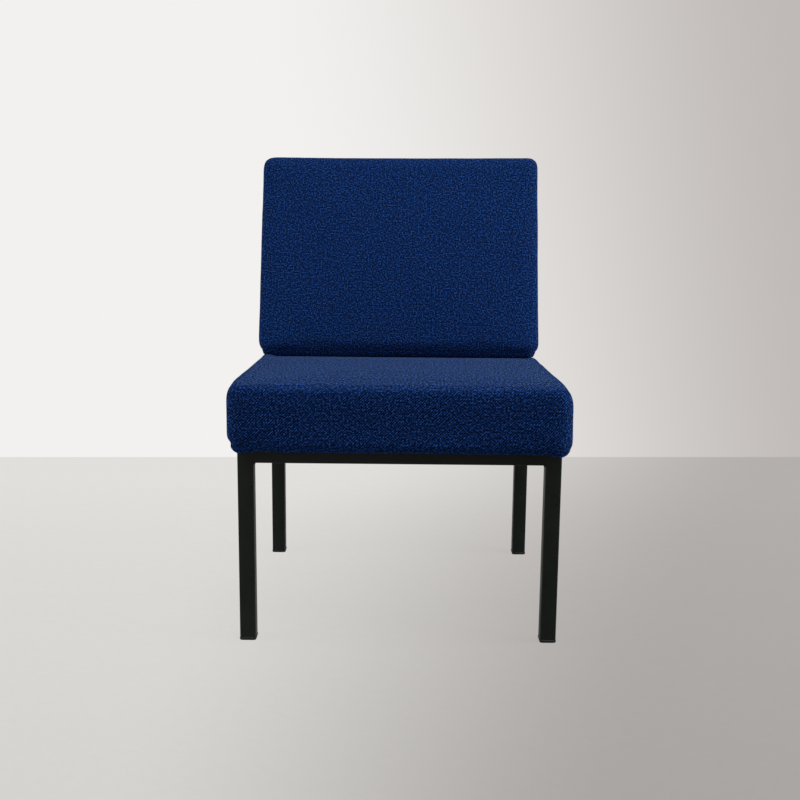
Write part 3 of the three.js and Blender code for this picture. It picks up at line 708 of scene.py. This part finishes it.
def add_room():
    """The wall is the world's colour, lighter on the left by painted shade, and the world's own
    light is plain.
    """
    world = bpy.data.worlds.new("room")
    world.use_nodes = True
    bpy.context.scene.world = world
    room = Nodes(world.node_tree)
    room.tree.nodes.clear()
    x, y, z = room.parts(room.add("ShaderNodeTexCoord").outputs["Generated"])
    # Painted shade: the wall darkens from left to right
    depth = room.math("MAXIMUM", room.math("ABSOLUTE", y), WALL_LEAST_DEPTH)
    turned = room.math("ADD", room.math("DIVIDE", x, depth), room.math("MULTIPLY", z, WALL_LEAN))
    tone = room.blend(room.eased(turned, *WALL_TURN), rgb(WALL_LIT_TONE), rgb(WALL_SHADED_TONE))
    wall = room.add("ShaderNodeBackground", {"Color": tone}).outputs[0]
    light = {"Color": grey(1.0), "Strength": AMBIENT_LEVEL}
    ambient = room.add("ShaderNodeBackground", light).outputs[0]
    room.add("ShaderNodeOutputWorld", {"Surface": room.mixed(room.seen(), ambient, wall)})


def add_lamp(name, azimuth, elevation, distance, size, level):
    """A soft square lamp aimed at the chair. At level 1 it lights a facing surface so that it
    shows its own colour."""
    data = bpy.data.lights.new(name, "AREA")
    data.shape = "SQUARE"
    data.size = size
    data.energy = level * math.pi ** 2 * distance ** 2
    lamp = bpy.data.objects.new(name, data)
    aim = (cad_low + cad_high) / 2
    towards = Vector((math.sin(azimuth) * math.cos(elevation),
                      -math.cos(azimuth) * math.cos(elevation), math.sin(elevation)))
    lamp.location = aim + towards * distance
    lamp.rotation_euler = towards.to_track_quat("Z", "Y").to_euler()
    bpy.context.scene.collection.objects.link(lamp)


# Shaping cushions
def ease(values):
    """From 0 to 1, slow at both ends."""
    values = np.clip(values, 0, 1)
    return values * values * (3 - 2 * values)


def by_side(points, pair):
    """For each point the first of the pair on the left, and the second on the right."""
    right = ease(points[:, 0] / CUSHION_VOXEL + 0.5)
    return pair[0] + (pair[1] - pair[0]) * right


def from_sides(points):
    """How far in from the sides each point lies."""
    return points[:, 0].max() - np.abs(points[:, 0])


def near_foot(above, rise):
    """1 at the foot, and falling to 0 at this rise above it."""
    return np.clip(1 - above / rise, 0, 1) ** 2


def on_edge(size, first, second):
    """The size where a round edge faces halfway between two directions, and none on its faces."""
    return size * 2 * first * second


def squareness(first, second):
    """How far out of a round edge its sharp corner lies, as a share of the edge's radius, where
    the edge faces this much in each of two directions."""
    reach = np.hypot(first, second)
    larger = np.maximum(np.maximum(first, second), EDGE_LEAST / 2)
    return reach ** 2 * (reach / larger - 1) * (reach > EDGE_LEAST)


def remeshed(piece):
    """Gives a cushion an even mesh, and softens the steps that this leaves."""
    remesh = piece.modifiers.new("remesh", "REMESH")
    remesh.mode = "VOXEL"
    remesh.voxel_size = CUSHION_VOXEL
    apply_modifiers(piece)
    smooth = piece.modifiers.new("smooth", "SMOOTH")
    smooth.factor = CUSHION_SMOOTHING_FACTOR
    smooth.iterations = CUSHION_SMOOTHING
    apply_modifiers(piece)


def offset(piece, held, distance):
    """Moves every point that isn't held outwards."""
    points = coordinates(piece.data)
    set_coordinates(piece.data, points + normals(piece.data) * (distance * (1 - held))[:, None])


def swollen(piece, held):
    """Blows the cushion up a little as cloth: its faces crown and its edges draw in, and no point
    moves further than the give of the foam."""
    start = coordinates(piece.data)
    facing = normals(piece.data)
    group = piece.vertex_groups.new(name="held")
    group.add([int(index) for index in np.nonzero(held)[0]], 1.0, "REPLACE")
    cloth = piece.modifiers.new("cloth", "CLOTH")
    cloth.settings.quality = CUSHION_QUALITY
    cloth.settings.use_pressure = True
    cloth.settings.uniform_pressure_force = CUSHION_PRESSURE
    cloth.settings.effector_weights.gravity = 0
    cloth.settings.vertex_group_mass = group.name
    cloth.point_cache.frame_start = 1
    cloth.point_cache.frame_end = CUSHION_STEPS
    scene = bpy.context.scene
    for step in range(1, CUSHION_STEPS + 1):
        scene.frame_set(step)
    graph = bpy.context.evaluated_depsgraph_get()
    blown = coordinates(piece.evaluated_get(graph).data)
    outwards = ((blown - start) * facing).sum(axis=1)
    give = CUSHION_GIVE * np.tanh(outwards / (CUSHION_SOFTNESS * CUSHION_GIVE)) * (1 - held)
    piece.modifiers.remove(cloth)
    piece.vertex_groups.clear()
    scene.frame_set(1)
    set_coordinates(piece.data, start + facing * give[:, None])


def refined(piece):
    subdivision = piece.modifiers.new("subdivision", "SUBSURF")
    subdivision.levels = 1
    subdivision.render_levels = 1
    apply_modifiers(piece)


def undulated(piece, held):
    """Shallow hollows and swells of foam, and the finer unevenness of cloth."""
    points = coordinates(piece.data)
    fractal = (UNDULATION_FALLOFF, UNDULATION_STEP, UNDULATION_OCTAVES)
    heights = np.array([
        UNDULATION * noise.fractal(Vector(point) / UNDULATION_PITCH, *fractal)
        + RUFFLE * noise.noise(Vector(point) / RUFFLE_PITCH) for point in points
    ])
    move = normals(piece.data) * (heights * (1 - held))[:, None]
    set_coordinates(piece.data, points + move)


def carved(piece, cutters):
    for cutter in cutters:
        cut = piece.modifiers.new("cut", "BOOLEAN")
        cut.operation = "DIFFERENCE"
        cut.solver = "EXACT"
        cut.object = cutter
        apply_modifiers(piece)
        bpy.data.objects.remove(cutter)


# Seat cushion
def add_seat():
    """The hollow that holds the panel is filled, so that the cushion is one closed form while it
    is shaped. Then the room of the frame and of the dust cover is cut out of it."""
    rail_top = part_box("rail_front")[1].z
    panel_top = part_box("seat_panel")[1].z
    frame_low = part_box("leg_front_left")[0]
    frame_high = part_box("leg_rear_right")[1]
    seat = copy_node("seat_foam", "seat_cushion")
    fill_low = (frame_low.x, frame_low.y, rail_top)
    fill_high = (frame_high.x, frame_high.y - CUSHION_VOXEL, panel_top + SEAT_FILL_RISE)
    join_into(seat, add_box("fill", fill_low, fill_high))
    remeshed(seat)
    points = coordinates(seat.data)
    held = (points[:, 2] < rail_top + CUSHION_VOXEL) & (np.abs(points[:, 0]) < frame_high.x)
    held &= points[:, 1] > frame_low.y
    held = held.astype(float)
    offset(seat, held, SEAT_COVER)
    swollen(seat, held)
    fill_out_seat(seat)
    refined(seat)
    tuck_corners(seat, rail_top)
    points = coordinates(seat.data)
    undulated(seat, (points[:, 2] < rail_top + CUSHION_VOXEL).astype(float))
    under_low = (frame_low.x - FRAME_GAP, frame_low.y - FRAME_GAP, 0)
    under_high = (frame_high.x + FRAME_GAP, frame_high.y + SEAT_CUT_OVERRUN, rail_top + REST_GAP)
    dust_low, dust_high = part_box("seat_dust_cover")
    pocket_low = (dust_low.x - FRAME_GAP, dust_low.y - FRAME_GAP, 0)
    pocket_high = (dust_high.x + FRAME_GAP, dust_high.y + FRAME_GAP, dust_high.z + REST_GAP)
    carved(seat, [add_box("under", under_low, under_high),
                  add_box("pocket", pocket_low, pocket_high)])
    set_smooth(seat.data)
    finish_piece(seat, seat_fabric)
    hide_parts("seat_cover", "seat_foam")
    return seat


def fill_out_seat(seat):
    """Moves the sides, the upper side edges, the upper front edge and the lower edges of the seat
    outwards, and lets its top sink under the back."""
    points = coordinates(seat.data)
    facing = normals(seat.data)
    near_front = ease(1 - (points[:, 1] - points[:, 1].min()) / SEAT_CORNER_REACH)
    near_side = ease(1 - from_sides(points) / SEAT_CORNER_REACH)
    shoulder = by_side(points, SEAT_SHOULDER_FULLNESS)
    shoulder -= by_side(points, SEAT_CORNER_THINNING) * near_front
    corner_share = by_side(points, SEAT_HEM_CORNER_SHARE)
    hem = SEAT_HEM_FULLNESS * (1 - (1 - corner_share) * near_front * near_side)
    sideways = np.abs(facing[:, 0])
    forwards = np.clip(-facing[:, 1], 0, 1)
    level = np.hypot(facing[:, 0], facing[:, 1])
    upwards = np.clip(facing[:, 2], 0, 1)
    downwards = np.clip(-facing[:, 2], 0, 1)
    move = by_side(points, SEAT_SIDE_FULLNESS) * sideways ** 2
    move += on_edge(shoulder, sideways, upwards)
    move += SEAT_FRONT_FULLNESS * squareness(forwards, upwards)
    move += on_edge(hem, level, downwards)
    points += facing * move[:, None]
    under_back = ease((points[:, 1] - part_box("back_foam")[0].y) / SEAT_DIP_REACH + 1)
    under_back *= ease(from_sides(points) / SEAT_DIP_SIDE)
    points[:, 2] -= SEAT_DIP * under_back * upwards
    set_coordinates(seat.data, points)


def tuck_corners(seat, rail_top):
    """A soft crease runs round each lower corner of the seat, above the hanging hem."""
    points = coordinates(seat.data)
    x, y, z = points.T
    low, high = points.min(0), points.max(0)
    from_end = np.minimum(y - low[1], high[1] - y)
    corner = np.hypot(np.abs(x) - high[0], from_end)
    from_tuck = (z - rail_top - by_side(points, TUCK_RISE)) / by_side(points, TUCK_WIDTH)
    near_corner = ease(TUCK_ENDING * (1 - corner / TUCK_REACH))
    tuck = by_side(points, TUCK_DEPTH) * np.exp(-from_tuck ** 2) * near_corner
    set_coordinates(seat.data, points - normals(seat.data) * tuck[:, None])


# Back cushion
def add_back(seat):
    """The cushion is stood upright while it is shaped, and leans again before it settles on the
    seat. The hollow round its panel is filled up to the rear of the cover."""
    lean_turn = Matrix.Rotation(BACK_LEAN, 4, "X")
    back = copy_node("back_foam", "back_cushion")
    back.data.transform(lean_turn)
    rear = depth_range("back_cover", BACK_LEAN)[1]
    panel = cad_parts["back_panel"].data.copy()
    panel.transform(lean_turn)
    panel_points = coordinates(panel)
    bpy.data.meshes.remove(panel)
    fill_low = panel_points.min(0) - CUSHION_VOXEL
    fill_high = panel_points.max(0) + CUSHION_VOXEL
    fill_low[1] -= CUSHION_VOXEL
    fill_high[1] = rear
    join_into(back, add_box("fill", fill_low, fill_high))
    remeshed(back)
    held = (coordinates(back.data)[:, 1] > rear - CUSHION_VOXEL).astype(float)
    offset(back, held, BACK_COVER)
    swollen(back, held)
    shape_back(back)
    refined(back)
    undulated(back, (coordinates(back.data)[:, 1] > rear - CUSHION_VOXEL).astype(float))
    back.data.transform(lean_turn.inverted() @ Matrix.Translation((BACK_SHIFT, 0, 0)))
    settle_on(back, seat)
    set_smooth(back.data)
    finish_piece(back, back_fabric)
    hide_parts("back_cover", "back_foam")


def shape_back(back):
    """The back is widest low down and stands a little higher at its right end. Its upper corners
    are full, and its lower corners and the foot of its front draw in."""
    points = coordinates(back.data)
    facing = normals(back.data)
    low, high = points.min(0), points.max(0)
    size = high - low
    height = (points[:, 2] - low[2]) / size[2]
    fullness = by_side(points, BACK_LOW_FULLNESS) * ease(2 - 2 * height)
    fullness += by_side(points, BACK_SIDE_FULLNESS)
    corner = by_side(points, BACK_TOP_CORNER_FULLNESS)
    move = fullness * facing[:, 0] ** 2
    move += on_edge(corner, np.abs(facing[:, 0]), np.clip(facing[:, 2], 0, 1))
    points += facing * move[:, None]
    across = (points[:, 0] - low[0]) / size[0]
    lift = BACK_TOP_FULLNESS[0] + (BACK_TOP_FULLNESS[1] - BACK_TOP_FULLNESS[0]) * across
    points[:, 2] += lift * ease(height)
    above = height * size[2]
    for side, rise, draw in zip((-1, 1), BACK_CORNER_RISE, BACK_CORNER_DRAW):
        near_side = ease((side * points[:, 0] - high[0]) / BACK_CORNER_REACH + 1)
        points[:, 0] -= side * draw * near_foot(above, rise) * near_side
    draw = BACK_FOOT_DRAW * near_foot(above, BACK_FOOT_RISE)
    points[:, 1] += draw * (high[1] - points[:, 1]) / size[1]
    set_coordinates(back.data, points)


def settle_on(upper, lower):
    """Lets the underside of the upper cushion down on the lower one, and lifts what would sink
    into it."""
    tree = BVHTree.FromPolygons([v.co for v in lower.data.vertices],
                                [p.vertices for p in lower.data.polygons])
    points = coordinates(upper.data)
    facing = normals(upper.data)
    top = max(v.co.z for v in lower.data.vertices)
    down = Vector((0, 0, -1))
    first, last = SETTLE_FACING
    for index in np.nonzero(points[:, 2] < top + 2 * SETTLE_REACH)[0]:
        x, y, z = points[index]
        hit = tree.ray_cast(Vector((x, y, top + SETTLE_REACH)), down)[0]
        if hit is None:
            continue
        rest = hit.z + CONTACT_GAP
        downwards = np.clip((facing[index, 2] - first) / (last - first), 0, 1)
        share = 1 if z < rest else ease(2 - (z - rest) / SETTLE_REACH) * downwards
        points[index, 2] = z - (z - rest) * share
    set_coordinates(upper.data, points)


# The board that closes the back, wrapped in the same cloth, with soft edges
def add_rear_board():
    board = copy_node("back_rear_board", "rear_board")
    shape = bmesh.new()
    shape.from_mesh(board.data)
    bmesh.ops.remove_doubles(shape, verts=shape.verts, dist=MERGE_DISTANCE)
    bmesh.ops.dissolve_limit(shape, angle_limit=FLAT_ANGLE, verts=shape.verts, edges=shape.edges)
    shape.to_mesh(board.data)
    shape.free()
    bevel = board.modifiers.new("edge", "BEVEL")
    bevel.width = BOARD_EDGE
    bevel.segments = BOARD_EDGE_SEGMENTS
    bevel.angle_limit = SHARP_ANGLE
    apply_modifiers(board)
    set_smooth(board.data)
    finish_piece(board, back_fabric)
    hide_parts("back_rear_board")


# Welds
def extruded(shape, sections):
    """Adds a closed solid to the shape, through sections that each have as many points."""
    rings = [[shape.verts.new(point) for point in section] for section in sections]
    for first, second in zip(rings, rings[1:]):
        for index in range(len(first)):
            after = (index + 1) % len(first)
            shape.faces.new((first[index], first[after], second[after], second[index]))
    shape.faces.new(list(reversed(rings[0])))
    shape.faces.new(rings[-1])


def fillet_weld(shape, start, end, across, down):
    """A bead in the corner line from start to end. Across and down run along the two faces."""
    start, end, across, down = (Vector(value) for value in (start, end, across, down))
    length = (end - start).length
    count = round(length / WELD_STEP)
    sections = []
    for station in range(count + 1):
        at = start.lerp(end, station / count)
        turn = math.pi * station * length / count / WELD_RIPPLE_PITCH
        ripple = 1 + WELD_RIPPLE * abs(math.sin(turn))
        leg = WELD_LEG * (ripple + WELD_UNEVENNESS * noise.noise(at / WELD_LEG))
        from_start = WELD_END_SHARE + station / WELD_END_STEPS
        from_end = WELD_END_SHARE + (count - station) / WELD_END_STEPS
        leg *= min(1, from_start, from_end)
        section = [at - across * WELD_ROOT - down * WELD_ROOT]
        for facet in range(WELD_FACETS + 1):
            angle = math.pi / 2 * facet / WELD_FACETS
            reach = leg / (math.cos(angle) + math.sin(angle))
            reach *= 1 + WELD_BULGE * math.sin(2 * angle)
            point = at + across * (reach * math.cos(angle)) + down * (reach * math.sin(angle))
            if facet == 0:
                section.append(point - down * WELD_ROOT)
            section.append(point)
            if facet == WELD_FACETS:
                section.append(point - across * WELD_ROOT)
        sections.append(section)
    extruded(shape, sections)


def ground_weld(shape, start, end, across, outwards):
    """A bead ground nearly flush, which fills the groove at a leg's rounded corner."""
    start, end, across, outwards = (Vector(value) for value in (start, end, across, outwards))
    count = round((end - start).length / WELD_STEP)
    root = outwards * TUBE_CORNER
    sections = []
    for station in range(count + 1):
        at = start.lerp(end, station / count)
        waver = 1 + GROUND_WELD_WAVER * noise.noise(at / WELD_LEG)
        half = GROUND_WELD_WIDTH / 2 * waver
        section = [at - across * half - root, at + across * half - root]
        for facet in range(WELD_FACETS + 1):
            turn = math.pi * facet / WELD_FACETS
            crown = math.sin(turn) * (1 + GROUND_WELD_EDGE_SHARE) - GROUND_WELD_EDGE_SHARE
            mark = GROUND_WELD_MARKS * noise.noise(at / WELD_STEP + across * facet)
            proud = GROUND_WELD_PROUD * (crown + mark)
            section.append(at + across * (half * math.cos(turn)) + outwards * proud)
        sections.append(section)
    extruded(shape, sections)


def leg_welds(shape, end, side):
    """The beads where the rails meet one leg: under them, in the inner corner, and outside."""
    low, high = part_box(f"leg_{end}_{side}")
    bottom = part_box(f"rail_{end}")[0].z
    to_x = 1 if side == "left" else -1
    to_y = 1 if end == "front" else -1
    outer_x, inner_x = (low.x, high.x) if side == "left" else (high.x, low.x)
    outer_y, inner_y = (low.y, high.y) if end == "front" else (high.y, low.y)
    fillet_weld(shape, (inner_x, low.y + TUBE_CORNER, bottom),
                (inner_x, high.y - TUBE_CORNER, bottom), (to_x, 0, 0), (0, 0, -1))
    fillet_weld(shape, (low.x + TUBE_CORNER, inner_y, bottom),
                (high.x - TUBE_CORNER, inner_y, bottom), (0, to_y, 0), (0, 0, -1))
    fillet_weld(shape, (inner_x, inner_y, bottom), (inner_x, inner_y, high.z - REST_GAP),
                (to_x, 0, 0), (0, to_y, 0))
    upper = high.z - TUBE_CORNER
    lower = bottom + TUBE_CORNER
    groove_x = inner_x - to_x * TUBE_CORNER / 2
    groove_y = inner_y - to_y * TUBE_CORNER / 2
    ground_weld(shape, (groove_x, outer_y, lower), (groove_x, outer_y, upper),
                (1, 0, 0), (0, -to_y, 0))
    ground_weld(shape, (outer_x, groove_y, lower), (outer_x, groove_y, upper),
                (0, 1, 0), (-to_x, 0, 0))


def add_welds():
    shape = bmesh.new()
    for end in ("front", "rear"):
        for side in ("left", "right"):
            leg_welds(shape, end, side)
    rail_low, rail_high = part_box("rail_rear")
    for side in ("left", "right"):
        low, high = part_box(f"upright_{side}")
        for x, away in ((low.x, -1), (high.x, 1)):
            fillet_weld(shape, (x, rail_high.y, rail_low.z + TUBE_CORNER),
                        (x, rail_high.y, rail_high.z - TUBE_CORNER), (away, 0, 0), (0, 1, 0))
    add_trim("frame_welds", shape, frame_paint)


# Staples
def staple(shape, middle, turn):
    """A staple driven upwards, its crown along X before the turn."""
    half = STAPLE_WIDTH / 2
    bend = 2 * STAPLE_RADIUS
    path = [(-half, STAPLE_LEG), (-half, bend), (-half + bend, 0), (half - bend, 0), (half, bend),
            (half, STAPLE_LEG)]
    turned = Matrix.Rotation(turn, 3, "Z")
    sections = []
    for index, (x, z) in enumerate(path):
        before = Vector(path[max(index - 1, 0)])
        after = Vector(path[min(index + 1, len(path) - 1)])
        ahead = (after - before).normalized()
        section = []
        for corner in range(STAPLE_SIDES):
            angle = 2 * math.pi / STAPLE_SIDES * corner
            out = STAPLE_RADIUS * math.cos(angle)
            aside = STAPLE_RADIUS * math.sin(angle)
            local = Vector((x - ahead.y * out, aside, z + ahead.x * out))
            section.append(Vector(middle) + turned @ local)
        sections.append(section)
    extruded(shape, sections)


def staple_row(shape, start, end, place, turn):
    """Staples at even steps from start to end, where place gives the point of each."""
    count = round((end - start) / STAPLE_PITCH)
    for number in range(count):
        middle = place(start + (number + 0.5) * (end - start) / count)
        skew = STAPLE_SKEW * noise.noise(Vector(middle) / STAPLE_WIDTH)
        staple(shape, middle, skew + turn)


def add_staples():
    low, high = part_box("seat_dust_cover")
    height = low.z - STAPLE_RADIUS / 2
    shape = bmesh.new()
    for y in (low.y + STAPLE_INSET, high.y - STAPLE_INSET):
        staple_row(shape, low.x, high.x, lambda x: (x, y, height), 0)
    for x in (low.x + STAPLE_INSET, high.x - STAPLE_INSET):
        staple_row(shape, low.y, high.y, lambda y: (x, y, height), math.pi / 2)
    add_trim("dust_cover_staples", shape, zinc_steel)


# CAD pieces that keep their shape
def dress_nodes():
    """Each node gets the finish of the longest of these names that its own name starts with."""
    finishes = {
        "leg": frame_paint, "rail": frame_paint, "upright": frame_paint,
        "glide": black_plastic, "upright_plug": black_plastic,
        "seat_panel": birch_ply, "back_panel": birch_ply, "seat_dust_cover": dust_fabric,
        "seat_washer": zinc_steel, "seat_screw": zinc_steel, "seat_tee_nut": zinc_steel,
        "back_tee_nut": zinc_steel, "back_washer": black_steel, "back_bolt": black_steel,
    }
    for name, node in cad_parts.items():
        keys = [key for key in finishes if name.startswith(key)]
        if not keys:
            continue
        node.data.materials.clear()
        node.data.materials.append(finishes[max(keys, key=len)])
        shade_round(node)


def shade_round(node):
    """Round stretches are shaded smooth and edges stay sharp."""
    custom = node.data.attributes.get("custom_normal")
    if custom is not None:
        node.data.attributes.remove(custom)
    node.modifiers.new("weld", "WELD").merge_threshold = MERGE_DISTANCE
    split = node.modifiers.new("split", "EDGE_SPLIT")
    split.split_angle = SHARP_ANGLE
    split.use_edge_sharp = False
    set_smooth(node.data)


add_floor(add_camera())
add_room()
add_lamp("key", KEY_AZIMUTH, KEY_ELEVATION, KEY_DISTANCE, KEY_SIZE, KEY_LEVEL)
add_lamp("left", -SIDE_AZIMUTH, SIDE_ELEVATION, SIDE_DISTANCE, SIDE_SIZE, LEFT_LEVEL)
add_lamp("right", SIDE_AZIMUTH, SIDE_ELEVATION, SIDE_DISTANCE, SIDE_SIZE, RIGHT_LEVEL)
seat_cushion = add_seat()
add_back(seat_cushion)
add_rear_board()
add_welds()
add_staples()
dress_nodes()

bpy.context.scene.view_settings.view_transform = "Standard"
